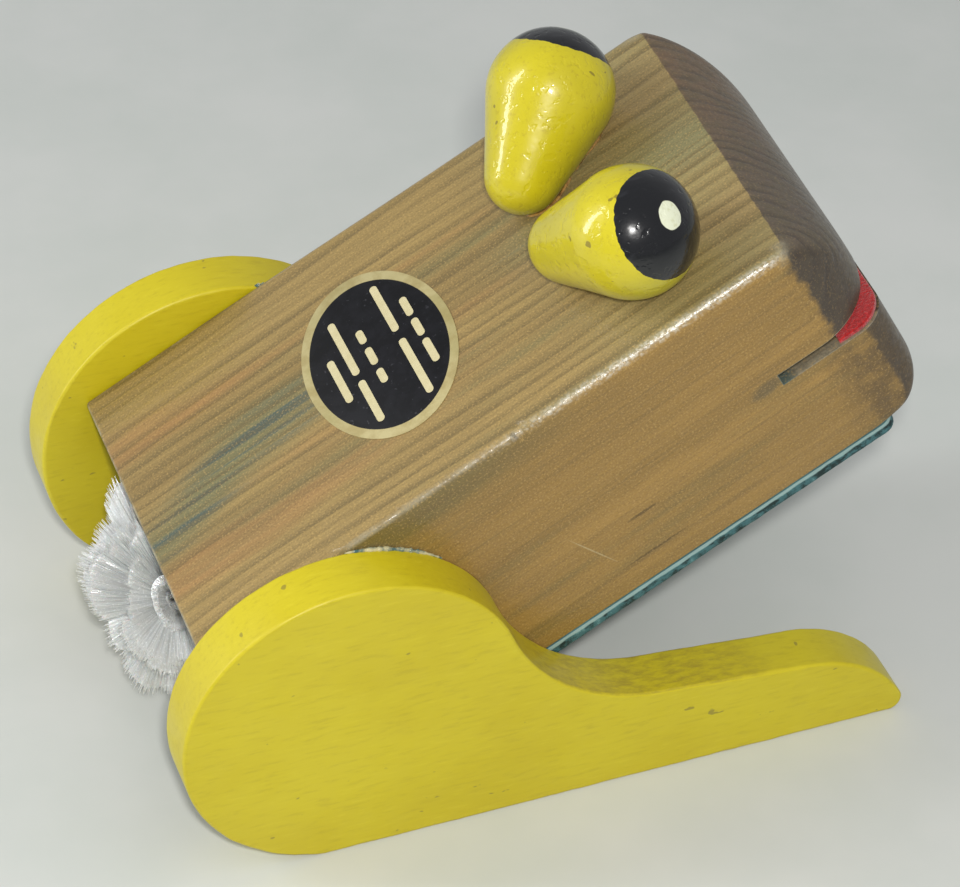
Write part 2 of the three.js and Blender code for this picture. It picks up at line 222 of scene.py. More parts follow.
def make_piece(name, tubes, smooth_angle=35, replaces=(), body="bank", matrix=BLOCK):
    """A visible piece that rides on its CAD body."""
    piece = make_object(name, tubes, matrix, smooth_angle)
    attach(piece, body)
    if replaces:
        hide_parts(*replaces)
    return piece


def tidy_mesh(piece, smooth_angle):
    mesh = piece.data
    work = bmesh.new()
    work.from_mesh(mesh)
    bmesh.ops.recalc_face_normals(work, faces=work.faces)
    work.to_mesh(mesh)
    work.free()
    mesh.polygons.foreach_set("use_smooth", [True] * len(mesh.polygons))
    mesh.set_sharp_from_angle(angle=math.radians(smooth_angle))


def bridge(ring_count, count, start):
    """Faces between rings of count vertices, numbered ring after ring from start, and one at each end."""
    faces = []
    for r in range(ring_count - 1):
        a = start + r * count
        b = a + count
        for i in range(count):
            j = (i + 1) % count
            faces.append((a + i, a + j, b + j, b + i))
    faces.append(tuple(reversed(range(start, start + count))))
    last = start + (ring_count - 1) * count
    faces.append(tuple(range(last, last + count)))
    return faces


def inset(outline, distance):
    """Moves point i of a closed outline inwards by distance(i), along the mean of its two edges' normals."""
    moved = []
    count = len(outline)
    for i, (u, v) in enumerate(outline):
        before, after = outline[i - 1], outline[(i + 1) % count]
        first = Vector((v - before[1], before[0] - u)).normalized()
        second = Vector((after[1] - v, u - after[0])).normalized()
        normal = first + second
        normal /= max(normal.length_squared / 2, 0.2)
        moved.append((u - normal.x * distance(i), v - normal.y * distance(i)))
    return moved


def rounded_slab(outline, low, high, edge, place, steps=4):
    """Rings of a slab with rounded edges. place(u, v, h) turns outline and height into a point."""
    rings = []
    heights = []
    for k in range(steps + 1):
        angle = math.pi / 2 * k / steps
        heights.append((1 - math.cos(angle), 1 - math.sin(angle)))
    for up, side in heights:
        ring = inset(outline, lambda i, s=side: edge(i) * s)
        rings.append([place(u, v, low + edge(i) * up) for i, (u, v) in enumerate(ring)])
    for up, side in reversed(heights):
        ring = inset(outline, lambda i, s=side: edge(i) * s)
        rings.append([place(u, v, high - edge(i) * up) for i, (u, v) in enumerate(ring)])
    return rings


def arc(centre, radius, start, end, count):
    """Points along an arc, both ends included; angles in radians."""
    return [
        (centre[0] + radius * math.cos(start + (end - start) * k / count),
         centre[1] + radius * math.sin(start + (end - start) * k / count))
        for k in range(count + 1)
    ]


def line(start, end, count):
    """Points from start towards end, without the last one."""
    return [
        (start[0] + (end[0] - start[0]) * k / count, start[1] + (end[1] - start[1]) * k / count)
        for k in range(count)
    ]


def rounded_rectangle(x_low, x_high, half_width, rear_radius, front_radius, steps):
    points = []
    if rear_radius > 0:
        points += arc((x_low + rear_radius, -half_width + rear_radius), rear_radius,
                      2 * QUARTER, 3 * QUARTER, steps)
    else:
        points.append((x_low, -half_width))
    points += arc((x_high - front_radius, -half_width + front_radius), front_radius, -QUARTER, 0, steps)
    points += arc((x_high - front_radius, half_width - front_radius), front_radius, 0, QUARTER, steps)
    if rear_radius > 0:
        points += arc((x_low + rear_radius, half_width - rear_radius), rear_radius,
                      QUARTER, 2 * QUARTER, steps)
    else:
        points.append((x_low, half_width))
    return points


def lathe(profile, axis_point, segments):
    """Rings round the z axis through axis_point, from (radius, height) pairs."""
    rings = []
    for radius, height in profile:
        rings.append([
            (axis_point[0] + radius * math.cos(2 * math.pi * k / segments),
             axis_point[1] + radius * math.sin(2 * math.pi * k / segments),
             axis_point[2] + height)
            for k in range(segments)
        ])
    return rings


def tube_rings(path, radii, sides):
    """Rings round a path of points, for beads and strands."""
    rings = []
    normal = None
    for k, point in enumerate(path):
        ahead = path[min(k + 1, len(path) - 1)] - path[max(k - 1, 0)]
        ahead.normalize()
        if normal is None:
            normal = ahead.orthogonal().normalized()
        normal = (normal - ahead * normal.dot(ahead)).normalized()
        other = ahead.cross(normal)
        rings.append([
            point + (normal * math.cos(2 * math.pi * s / sides)
                     + other * math.sin(2 * math.pi * s / sides)) * radii[k]
            for s in range(sides)
        ])
    return rings


def cut(piece, rings):
    """Takes the solid inside the rings out of the piece."""
    cutter = make_object("cutter", [rings], BLOCK, 35)
    modifier = piece.modifiers.new("cut", "BOOLEAN")
    modifier.operation = "DIFFERENCE"
    modifier.solver = "EXACT"
    modifier.object = cutter
    bpy.context.view_layer.update()
    evaluated = piece.evaluated_get(bpy.context.evaluated_depsgraph_get())
    mesh = bpy.data.meshes.new_from_object(evaluated)
    piece.modifiers.clear()
    piece.data = mesh
    bpy.data.objects.remove(cutter)


def wobble(x, y, z, scale, seed=0.0):
    """Smooth repeatable noise from -1 to 1."""
    return noise.noise(Vector((x * scale + seed, y * scale - seed, z * scale + 0.37 * seed)))


def skew_snout(x, y):
    """The snout was sanded slightly out of square."""
    return x + SNOUT_SKEW * y * smoothstep(SKEW_START_X, SKEW_END_X, x)


# ------------------------------------------------------------ material helpers


def tone(red, green, blue):
    """A screen colour from 0 to 255 as a linear RGBA."""
    channels = []
    for value in (red, green, blue):
        share = value / 255
        channels.append(share / 12.92 if share <= 0.04045 else ((share + 0.055) / 1.055) ** 2.4)
    return (*channels, 1.0)


# Where a Mix node set to colours keeps its two colours and its result
COLOUR_A = 6
COLOUR_B = 7
COLOUR_RESULT = 2


class Surface:
    """One material, with short calls for the nodes that it needs."""

    def __init__(self, name, **inputs):
        self.material = bpy.data.materials.new(name)
        self.material.use_nodes = True
        self.nodes = self.material.node_tree.nodes
        self.links = self.material.node_tree.links
        self.shader = self.nodes["Principled BSDF"]
        coordinates = self.nodes.new("ShaderNodeTexCoord")
        self.place = coordinates.outputs["Object"]
        self.normal = coordinates.outputs["Normal"]
        for key, value in inputs.items():
            self.put(value, self.shader.inputs[key.replace("_", " ")])

    def put(self, value, socket):
        if isinstance(value, bpy.types.NodeSocket):
            self.links.new(value, socket)
        else:
            socket.default_value = value

    def rough(self, value):
        self.put(value, self.shader.inputs["Roughness"])

    def add(self, kind, output, options=(), **inputs):
        """Adds a node, fills its named inputs with values or sockets, and gives one of its outputs."""
        node = self.nodes.new("ShaderNode" + kind)
        for key, value in options:
            setattr(node, key, value)
        for key, value in inputs.items():
            self.put(value, node.inputs[key.replace("_", " ")])
        return node.outputs[output]

    def stretch(self, scale, move=(0, 0, 0)):
        return self.add("Mapping", "Vector", Vector=self.place, Scale=scale, Location=move)

    def noise(self, scale, detail=2.0, roughness=0.5, move=(0, 0, 0)):
        """Noise in object coordinates; the scale is one number or one for each axis."""
        if not isinstance(scale, tuple):
            scale = (scale, scale, scale)
        return self.add("TexNoise", "Fac", Vector=self.stretch(scale, move), Scale=1.0, Detail=detail,
                        Roughness=roughness)

    def ramp(self, value, start, end, low=0.0, high=1.0):
        """Goes smoothly from low at start to high at end."""
        return self.add("MapRange", "Result", [("interpolation_type", "SMOOTHSTEP")], Value=value,
                        From_Min=start, From_Max=end, To_Min=low, To_Max=high)

    def calc(self, operation, first, second=0.0):
        node = self.nodes.new("ShaderNodeMath")
        node.operation = operation
        self.put(first, node.inputs[0])
        self.put(second, node.inputs[1])
        return node.outputs[0]

    def times(self, first, second):
        return self.calc("MULTIPLY", first, second)

    def plus(self, first, second):
        return self.calc("ADD", first, second)

    def minus(self, first, second):
        return self.calc("SUBTRACT", first, second)

    def most(self, first, second):
        return self.calc("MAXIMUM", first, second)

    def swing(self, value, amount):
        """Turns a value round 0.5 into one round 0, of the given amount."""
        return self.times(self.minus(value, 0.5), amount)

    def size(self, value):
        return self.calc("ABSOLUTE", value)

    def length(self, vector):
        return self.add("VectorMath", "Value", [("operation", "LENGTH")], Vector=vector)

    def split(self, vector):
        node = self.nodes.new("ShaderNodeSeparateXYZ")
        self.put(vector, node.inputs[0])
        return node.outputs["X"], node.outputs["Y"], node.outputs["Z"]

    def mix(self, share, first, second):
        """Mixes two colours, each a socket or a screen colour from 0 to 255."""
        node = self.nodes.new("ShaderNodeMix")
        node.data_type = "RGBA"
        self.put(share, node.inputs["Factor"])
        for socket, value in ((COLOUR_A, first), (COLOUR_B, second)):
            self.put(tone(*value) if isinstance(value, tuple) else value, node.inputs[socket])
        return node.outputs[COLOUR_RESULT]

    def patches(self, base, over, scale, move, start, end, share, detail=3):
        """Lays a colour over the base where noise rises from start to end."""
        return self.mix(self.ramp(self.noise(scale, detail, move=move), start, end, 0.0, share), base, over)

    def attribute(self, name):
        return self.add("Attribute", "Fac", [("attribute_name", name)])

    def bump(self, height, distance, strength=1.0, under=None):
        more = {} if under is None else {"Normal": under}
        normal = self.add("Bump", "Normal", Strength=strength, Distance=distance, Height=height, **more)
        self.put(normal, self.shader.inputs["Normal"])
        return normal

    def colour(self, value):
        self.put(value, self.shader.inputs["Base Color"])


# ------------------------------------------------------------------- materials


def stained_wood():
    """Softwood under a thin olive stain, with its pith far to the left and below the block."""
    s = Surface("stained_wood", Coat_Weight=0.5, Coat_Roughness=0.2, Specular_IOR_Level=0.4)
    x, y, z = s.split(s.place)
    normal_x, normal_y, normal_z = s.split(s.normal)
    off_middle = s.size(y)
    # Growth rings
    slow = s.noise((5, 28, 28), 2)
    quick = s.noise((24, 130, 130), 2, move=(3, 1, 7))
    radial = s.length(s.stretch((0, 1, 1), (0, -0.25, 0.10)))
    radial = s.plus(radial, s.times(slow, 0.016))
    radial = s.plus(radial, s.times(quick, 0.0018))
    ring = s.calc("FRACT", s.calc("DIVIDE", radial, 0.0032))
    line_share = s.times(s.ramp(ring, 0.25, 0.84), s.ramp(ring, 0.86, 1.0, 1.0, 0.0))
    broken = s.ramp(s.noise((11, 150, 150), 3, move=(9, 4, 2)), 0.34, 0.60, 0.25, 1.0)
    line_share = s.times(line_share, broken)
    # Stain on the top
    wide = s.ramp(s.noise((8, 48, 48), 2, move=(5, 5, 1)), 0.35, 0.65)
    base = s.mix(wide, (146, 122, 72), (166, 140, 84))
    base = s.patches(base, (176, 122, 72), (9, 70, 70), (1, 12, 6), 0.50, 0.68, 0.45)
    base = s.patches(base, (118, 118, 78), (9, 110, 80), (2, 3, 8), 0.54, 0.70, 0.55)
    # Blue-green lane from the rear edge, and again between the eyes
    lane = s.plus(y, s.ramp(x, 0.0, 0.030, 0.0065, -0.001))
    lane = s.plus(lane, s.swing(slow, 0.020))
    lane = s.ramp(s.size(lane), 0.0080, 0.0010)
    lane = s.times(lane, s.most(s.ramp(x, 0.070, 0.030), s.ramp(x, 0.080, 0.112)))
    base = s.mix(s.times(lane, 0.75), base, (112, 118, 84))
    blue = s.ramp(s.noise((13, 380, 380), 3, move=(1, 6, 3)), 0.50, 0.64, 0.0, 0.8)
    base = s.mix(s.times(lane, blue), base, (58, 88, 90))
    base = s.mix(s.ramp(x, 0.085, 0.115, 0.0, 0.55), base, (150, 142, 98))
    base = s.mix(s.times(line_share, 0.62), base, (100, 86, 52))
    # The side faces are more golden and even, greener under the top edge
    side = s.ramp(s.size(normal_y), 0.55, 0.85)
    side_tone = s.mix(s.ramp(s.noise((10, 90, 110), 3, move=(7, 2, 3)), 0.3, 0.7),
                      (150, 118, 58), (168, 132, 66))
    side_tone = s.patches(side_tone, (122, 106, 60), (14, 150, 150), (3, 8, 4), 0.50, 0.68, 0.6)
    shade_band = s.times(s.ramp(z, -0.012, -0.002, 0.0, 0.7), s.ramp(x, 0.10, 0.06))
    side_tone = s.mix(shade_band, side_tone, (104, 96, 56))
    side_tone = s.patches(side_tone, (112, 90, 50), (9, 420, 420), (6, 1, 4), 0.54, 0.72, 0.40)
    base = s.mix(side, base, side_tone)
    # End grain drinks the stain
    rear = s.ramp(normal_x, -0.6, -0.9)
    mottle = s.noise(260, 4, 0.6, (4, 4, 9))
    slant = s.plus(normal_x, s.swing(mottle, 0.45))
    end = s.times(s.ramp(slant, 0.14, 0.32), s.ramp(normal_z, -0.75, -0.45))
    end = s.most(end, rear)
    rise = s.ramp(y, -0.03, 0.04)
    end_tone = s.mix(rise, (98, 86, 72), (118, 94, 68))
    end_tone = s.mix(s.ramp(mottle, 0.35, 0.68, 0.0, 0.5), end_tone, (96, 88, 64))
    cheek = s.times(s.ramp(s.size(normal_y), 0.3, 0.7), 0.7)
    end_tone = s.mix(cheek, end_tone, (62, 52, 42))
    end_tone = s.mix(s.times(line_share, 0.5), end_tone, (56, 48, 44))
    base = s.mix(end, base, end_tone)
    lip = s.times(s.ramp(z, -0.0300, -0.0330), s.ramp(x, 0.130, 0.140))
    base = s.mix(s.times(lip, s.ramp(mottle, 0.35, 0.6, 0.25, 0.75)), base, (84, 66, 40))
    # Marks on the right side: two dark fibres, a pale scratch, and a smudge beyond the mouth's end
    right = s.ramp(y, -0.0385, -0.0394)
    marks = [
        (0.0865, -0.0389, 0.0045, 0.0005, 0.0, 0.8, (90, 68, 32)),
        (0.0846, -0.0500, 0.0085, 0.0004, 0.0, 0.8, (90, 68, 32)),
        (0.0738, -0.0404, 0.0080, 0.0002, -1.20, 0.7, (196, 178, 132)),
        (0.1212, -0.0290, 0.0045, 0.0022, 0.2, 0.6, (88, 82, 62)),
    ]
    for middle, height, half_length, half_height, lean, strength, colour in marks:
        along = s.minus(x, middle)
        across = s.minus(z, height)
        u = s.plus(s.times(along, math.cos(lean) / half_length),
                   s.times(across, math.sin(lean) / half_length))
        v = s.minus(s.times(across, math.cos(lean) / half_height),
                   s.times(along, math.sin(lean) / half_height))
        spread = s.plus(s.times(u, u), s.times(v, v))
        share = s.times(s.ramp(spread, 1.2, 0.1, 0.0, strength), right)
        base = s.mix(share, base, colour)
    # Raw sawn faces of the mouth, stained at its end, with painted shade deeper inside the cut
    inside = s.times(s.ramp(z, -0.0310, -0.03085), s.ramp(z, -0.0275, -0.0274, 1.0, 0.0))
    inside = s.times(inside, s.ramp(x, 0.1242, 0.1243))
    sawn_and_shade = s.mix(s.noise((900, 500, 300), 3, 0.7), (96, 90, 76), (176, 166, 142))
    sawn_and_shade = s.mix(s.ramp(x, 0.1285, 0.1255), sawn_and_shade, (84, 104, 100))
    # Painted shade: the mouth's faces turn almost black further in from the block's sides
    sawn_and_shade = s.mix(s.ramp(off_middle, 0.0379, 0.0370, 0.0, 0.92), sawn_and_shade, (30, 27, 22))
    base = s.mix(s.times(inside, 0.95), base, sawn_and_shade)
    # Worn edges
    near_edge = s.ramp(off_middle, 0.0384, 0.0394)
    top_edge = s.times(near_edge, s.ramp(z, -0.0014, -0.0006))
    rear_edge = s.times(s.ramp(x, 0.0007, 0.0003), s.ramp(z, -0.0012, -0.0004))
    corner = s.times(s.ramp(x, 0.1345, 0.1375), s.ramp(x, 0.1445, 0.1405))
    corner = s.times(corner, s.ramp(z, -0.0040, -0.0015))
    corner = s.times(corner, s.ramp(off_middle, 0.0355, 0.0375))
    worn = s.most(s.times(top_edge, 0.5), s.times(rear_edge, 0.8))
    worn = s.most(worn, s.times(corner, 0.6))
    patch = s.ramp(s.noise(110, 4, 0.6, (2, 2, 2)), 0.42, 0.60, 0.15, 1.0)
    base = s.mix(s.times(worn, patch), base, (172, 164, 136))
    # Broad glittering light along the rounded front of the top's edges
    band = s.times(s.ramp(off_middle, 0.0379, 0.0391), s.ramp(z, -0.0022, -0.0010))
    band = s.times(band, s.ramp(x, 0.055, 0.105))
    band = s.times(band, s.ramp(x, 0.140, 0.134))
    sparkle = s.ramp(s.noise((1300, 1500, 1500), 2, move=(2, 5, 5)), 0.44, 0.62, 0.10, 0.60)
    base = s.mix(s.times(band, sparkle), base, (226, 223, 208))
    # Fibres and the fine glitter of the lacquer, which the end grain lacks
    flat = s.minus(1.0, end)
    fibre = s.noise((70, 1300, 1300), 3, 0.6, (1, 1, 1))
    fibre_share = s.times(s.ramp(fibre, 0.35, 0.7, 0.0, 0.28), flat)
    base = s.mix(fibre_share, base, (104, 84, 48))
    speck = s.noise(2100, 2, 0.6)
    glitter = s.times(s.ramp(speck, 0.52, 0.72, 0.0, 0.45), s.ramp(end, 0.0, 1.0, 1.0, 0.35))
    base = s.mix(glitter, base, (206, 170, 104))
    base = s.mix(s.ramp(speck, 0.46, 0.28, 0.0, 0.35), base, (84, 70, 44))
    s.colour(base)
    rough = s.ramp(s.noise((700, 900, 900), 2, move=(8, 8, 8)), 0.3, 0.7, 0.42, 0.64)
    s.rough(rough)
    under = s.bump(s.minus(1.0, line_share), 0.00012, 0.4)
    under = s.bump(s.times(fibre, flat), 0.00010, 0.5, under)
    lacquer = s.bump(s.noise((1100, 1500, 1500), 2, move=(5, 3, 1)), 0.00008, 0.9, under)
    s.put(lacquer, s.shader.inputs["Coat Normal"])
    return s.material


def yellow_paint(name, grain):
    """Satin yellow paint over wood, thin enough that fine grain shows, with grime in the hollows."""
    s = Surface(name, Specular_IOR_Level=0.45, Coat_Weight=0.15, Coat_Roughness=0.32)
    x, y, z = s.split(s.place)
    cloud = s.ramp(s.noise((28, 28, 40), 3), 0.3, 0.7)
    base = s.mix(cloud, (202, 184, 22), (210, 194, 28))
    fine = s.noise(grain, 4, 0.65, (3, 1, 5))
    base = s.mix(s.ramp(fine, 0.50, 0.74, 0.0, 0.30), base, (170, 150, 24))
    base = s.mix(s.ramp(fine, 0.46, 0.26, 0.0, 0.30), base, (222, 208, 50))
    # Grime where the throat meets the foot's top
    hollow = s.times(s.ramp(x, -0.020, 0.006), s.ramp(x, 0.058, 0.036))
    hollow = s.times(hollow, s.ramp(s.split(s.normal)[2], 0.35, 0.75))
    dirt = s.ramp(s.noise((260, 700, 260), 6, 0.72, (2, 9, 4)), 0.36, 0.70, 0.10, 0.62)
    base = s.mix(s.times(hollow, dirt), base, (142, 120, 44))
    # Few small knocks
    knock = s.ramp(s.noise((240, 240, 420), 2, 0.5, (6, 6, 1)), 0.73, 0.77, 0.0, 0.6)
    base = s.mix(knock, base, (120, 106, 52))
    s.colour(base)
    s.rough(s.ramp(s.noise(120, 3), 0.3, 0.7, 0.36, 0.52))
    under = s.bump(s.noise((40, 60, 240), 3, move=(1, 2, 3)), 0.00022, 0.35)
    s.bump(fine, 0.00007, 0.6, under)
    return s.material


def eye_paint():
    """Glossy yellow with a black cap and a cream dot, and painted shade on its underside; each border is a
    little uneven.
    """
    s = Surface("eye_paint", Specular_IOR_Level=0.4, Coat_Weight=0.55, Coat_Roughness=0.06)
    cloud = s.ramp(s.noise(55, 3), 0.3, 0.7)
    base = s.mix(cloud, (198, 184, 24), (212, 198, 34))
    # Painted shade: the yellow darkens where the eye faces downwards
    lower = s.ramp(s.split(s.normal)[2], 0.25, -0.6)
    base = s.mix(s.times(lower, 0.6), base, (156, 150, 30))
    fleck = s.noise(800, 4, 0.65, (4, 1, 1))
    base = s.mix(s.ramp(fleck, 0.54, 0.72, 0.0, 0.35), base, (160, 136, 30))
    base = s.patches(base, (110, 92, 36), 420, (2, 7, 1), 0.74, 0.77, 0.7, detail=1)
    ragged = s.swing(s.noise(620, 3), 0.05)
    cap = s.ramp(s.plus(s.attribute("cap"), ragged), -0.004, 0.004)
    scratch = s.ramp(s.noise((90, 700, 300), 3, move=(2, 3, 3)), 0.62, 0.74, 0.0, 0.4)
    black = s.mix(scratch, (15, 16, 20), (46, 47, 52))
    base = s.mix(cap, base, black)
    dot_edge = s.swing(s.noise(430, 1), 0.28)
    dot = s.ramp(s.plus(s.attribute("dot"), dot_edge), 1.02, 0.96)
    cream = s.mix(s.ramp(fleck, 0.5, 0.7), (232, 236, 208), (214, 216, 178))
    base = s.mix(dot, base, cream)
    s.colour(base)
    s.rough(s.ramp(cap, 0.0, 1.0, 0.32, 0.24))
    pits = s.ramp(s.noise(520, 2, move=(8, 8, 8)), 0.56, 0.68, 1.0, 0.0)
    under = s.bump(pits, 0.00010, 0.6)
    lacquer = s.bump(s.noise(210, 3), 0.00026, 0.5, under)
    s.put(lacquer, s.shader.inputs["Coat Normal"])
    return s.material


def label_paper():
    """Oval paper label: cream border and blank dark field."""
    s = Surface("label_paper", Roughness=0.5, Specular_IOR_Level=0.25)
    scale = (1 / LABEL_HALF[0], 1 / LABEL_HALF[1], 0)
    move = (-LABEL_X / LABEL_HALF[0], -LABEL_Y / LABEL_HALF[1], 0)
    from_centre = s.length(s.stretch(scale, move))
    mottle = s.noise(220, 4, 0.6)
    cream = s.mix(s.ramp(mottle, 0.35, 0.65), (170, 155, 106), (190, 178, 130))
    cream = s.patches(cream, (160, 150, 98), 70, (1, 5, 2), 0.50, 0.66, 0.5, detail=2)
    speck = s.ramp(s.noise(1100, 2), 0.66, 0.76, 0.0, 0.5)
    field = s.mix(s.ramp(mottle, 0.4, 0.6), (17, 17, 20), (24, 24, 28))
    field = s.mix(speck, field, (78, 78, 84))
    s.colour(s.mix(s.ramp(from_centre, 0.889, 0.897), field, cream))
    s.bump(s.noise(600, 3), 0.00004, 0.5)
    return s.material


def teal_wood():
    """Teal-stained plate, dark and mottled, with a paler strip along the top of its edge."""
    s = Surface("teal_wood", Specular_IOR_Level=0.35)
    _, _, z = s.split(s.place)
    grain = s.noise((30, 260, 260), 4, 0.6)
    base = s.mix(s.ramp(grain, 0.35, 0.68), (40, 78, 82), (78, 120, 122))
    side = s.ramp(s.size(s.split(s.normal)[2]), 0.75, 0.35)
    crumbs = s.noise((420, 420, 520), 5, 0.72, (1, 4, 4))
    edge_tone = s.mix(s.ramp(crumbs, 0.40, 0.56), (30, 50, 50), (70, 112, 116))
    edge_tone = s.mix(s.ramp(crumbs, 0.60, 0.70, 0.0, 0.8), edge_tone, (120, 168, 168))
    base = s.mix(side, base, edge_tone)
    ragged = s.swing(s.noise((260, 260, 0), 3), 0.0009)
    band = s.times(s.ramp(s.plus(z, ragged), -0.0586, -0.0582), side)
    base = s.mix(s.times(band, 0.85), base, s.mix(grain, (130, 166, 164), (176, 200, 194)))
    s.colour(base)
    s.rough(s.ramp(grain, 0.3, 0.7, 0.5, 0.72))
    under = s.bump(s.times(crumbs, side), 0.00030, 0.7)
    s.bump(grain, 0.0002, 0.5, under)
    return s.material


def red_felt():
    s = Surface("red_felt", Roughness=0.95, Specular_IOR_Level=0.15, Sheen_Weight=0.5, Sheen_Roughness=0.5)
    fibre = s.noise(1400, 4, 0.7)
    base = s.mix(s.ramp(fibre, 0.35, 0.68), (146, 18, 22), (206, 42, 42))
    cloud = s.ramp(s.noise(160, 2, move=(3, 3, 3)), 0.4, 0.66, 0.0, 0.5)
    s.colour(s.mix(cloud, base, (178, 26, 30)))
    s.bump(fibre, 0.0005, 0.9)
    return s.material


def two_tones(name, scale, first, second, limits=(0.35, 0.68), bump=(0.0001, 0.6), rough=None,
              detail=(4, 0.6), **inputs):
    """A plain material: one noise mixes two tones, roughens and raises the surface."""
    s = Surface(name, **inputs)
    grain = s.noise(scale, *detail)
    s.colour(s.mix(s.ramp(grain, *limits), first, second))
    if rough:
        s.rough(s.ramp(grain, 0.3, 0.7, *rough))
    s.bump(grain, *bump)
    return s.material


def metal(name, fresh, dull):
    return two_tones(name, 700, fresh, dull, bump=(0.00006, 0.5), rough=(0.28, 0.55), detail=(4, 0.65),
                     Metallic=1.0)


def yarn():
    """Shiny white filaments; the shade attribute holds painted shade, from the dark root deep in the tuft to
    the bright tips, and painted glints whiten specks near the tips.
    """
    s = Surface("white_yarn", Roughness=0.17, Specular_IOR_Level=0.9, Subsurface_Weight=0.15,
                Subsurface_Scale=0.002, Sheen_Weight=0.2, Sheen_Roughness=0.4)
    base = s.mix(s.attribute("shade"), (158, 159, 159), (228, 228, 225))
    along = s.noise(2200, 2)
    # Painted glints: specks of the colour are mixed towards white where the yarn is painted bright
    glint = s.times(s.ramp(along, 0.56, 0.66), s.ramp(s.attribute("shade"), 0.45, 0.95))
    s.colour(s.mix(s.times(glint, 0.8), base, (255, 255, 255)))
    s.bump(along, 0.00008, 0.8)
    return s.material


def glue(name, light, dark):
    return two_tones(name, 520, light, dark, limits=(0.35, 0.66), bump=(0.0003, 0.6), detail=(3, 0.6),
                     Roughness=0.16, Specular_IOR_Level=0.6, Coat_Weight=0.6, Coat_Roughness=0.08)


# ----------------------------------------------------------------------- block


def top_height(x):
    """Height of the block's top at x: flat, a small rounded crease, then the snout's large arc."""
    if x <= CREASE_X:
        return 0.0
    if x <= CREASE_END_X:
        return -CREASE_RADIUS + math.sqrt(max(CREASE_RADIUS ** 2 - (x - CREASE_X) ** 2, 0.0))
    return SNOUT_TOP_CENTRE_Z + math.sqrt(max(SNOUT_TOP_RADIUS ** 2 - (x - ARC_X) ** 2, 0.0))


def bottom_height(x):
    along = max(x - (SNOUT_X - SNOUT_BOTTOM_RADIUS), 0.0)
    return -BLOCK_HEIGHT + SNOUT_BOTTOM_RADIUS - math.sqrt(
        max(SNOUT_BOTTOM_RADIUS ** 2 - along ** 2, 0.0))


def half_width(x, corner):
    """Half the block's width at x, where its front corners have the given radius in plan."""
    along = max(x - (SNOUT_X - corner), 0.0)
    return HALF_WIDTH - corner + math.sqrt(max(corner ** 2 - along ** 2, 0.0))


def section(x, edge):
    """One ring across the block at x; its two jaws differ in width and meet inside the mouth cut."""
    upper = half_width(x, UPPER_CORNER_RADIUS) - edge
    lower = half_width(x, LOWER_CORNER_RADIUS) - edge
    top = top_height(x) - edge
    bottom = bottom_height(x) + edge
    growth = smoothstep(0.136, 0.1495, x)
    radius = LONG_EDGE_RADIUS + FRONT_EDGE_GROWTH * smoothstep(0.03, 0.10, x) + SNOUT_EDGE_GROWTH * growth
    chipped = radius + sum(depth * math.exp(-((x - middle) / CHIP_LENGTH) ** 2) for middle, depth in CHIPS)
    low_radius = LONG_EDGE_RADIUS * 0.6 + 0.003 * growth
    jaw_top = (upper, MOUTH_TOP_Z - 0.0006)
    jaw_bottom = (lower, MOUTH_FLOOR_Z + 0.0006)
    outline = arc((-lower + low_radius, bottom + low_radius), low_radius, 2 * QUARTER, 3 * QUARTER, 6)
    outline += arc((lower - low_radius, bottom + low_radius), low_radius, -QUARTER, 0, 6)
    outline += [jaw_bottom, jaw_top]
    outline += arc((upper - radius, top - radius), radius, 0, QUARTER, 8)
    outline += arc((-upper + chipped, top - chipped), chipped, QUARTER, 2 * QUARTER, 8)
    outline += [(-jaw_top[0], jaw_top[1]), (-jaw_bottom[0], jaw_bottom[1])]
    return [(skew_snout(x, y), y, z) for y, z in outline]


def build_block():
    stations = [(0.0, 0.0007), (0.00012, 0.00035), (0.0004, 0.00008), (0.0008, 0.0)]
    for start, end, count in ((0.0018, SKEW_START_X, 112), (SKEW_START_X, CREASE_X, 14),
                              (CREASE_X, CREASE_END_X, 6)):
        stations += [(x, 0.0) for x, _ in line((start, 0), (end, 0), count)]
    start = math.acos((CREASE_END_X - ARC_X) / SNOUT_TOP_RADIUS)
    steps = 40
    for k in range(steps + 1):
        angle = start * (1 - k / steps) ** 1.15
        stations.append((ARC_X + SNOUT_TOP_RADIUS * math.cos(angle), 0.0))
    rings = [section(x, edge) for x, edge in stations]
    piece = make_piece("frog_block", [rings], replaces=["body_block"])
    cut(piece, mouth_rings())
    cut(piece, chamber_rings())
    tidy_mesh(piece, 35)
    return piece


def mouth_rings():
    """The saw cut of the mouth, flared where the upper lip is sanded round."""
    beyond = SNOUT_X + 0.012
    profile = [(MOUTH_END_X, MOUTH_FLOOR_Z), (SKEW_START_X, MOUTH_FLOOR_Z), (0.1312, MOUTH_FLOOR_Z),
               (SKEW_END_X, MOUTH_FLOOR_Z), (beyond, MOUTH_FLOOR_Z), (beyond, MOUTH_TOP_Z + LIP_RADIUS)]
    profile += arc((SNOUT_X - LIP_RADIUS, MOUTH_TOP_Z + LIP_RADIUS), LIP_RADIUS, 0, -math.pi / 2, 8)
    profile += [(SKEW_END_X, MOUTH_TOP_Z), (0.1312, MOUTH_TOP_Z), (SKEW_START_X, MOUTH_TOP_Z),
                (MOUTH_END_X, MOUTH_TOP_Z)]
    return [
        [(skew_snout(x, y), y, z) for x, z in profile]
        for y in (-0.05, 0.05)
    ]


def chamber_rings():
    outline = rounded_rectangle(*CHAMBER_X, CHAMBER_HALF_WIDTH, CHAMBER_CORNER, CHAMBER_CORNER, 6)
    return [[(x, y, z) for x, y in outline] for z in (-BLOCK_HEIGHT - 0.001, CHAMBER_TOP_Z)]


def densify(outline, spacing):
    """Adds points along a closed outline so that none lie further apart than the spacing."""
    dense = []
    for k, point in enumerate(outline):
        following = outline[(k + 1) % len(outline)]
        dense += line(point, following, max(1, round(math.dist(point, following) / spacing)))
    return dense


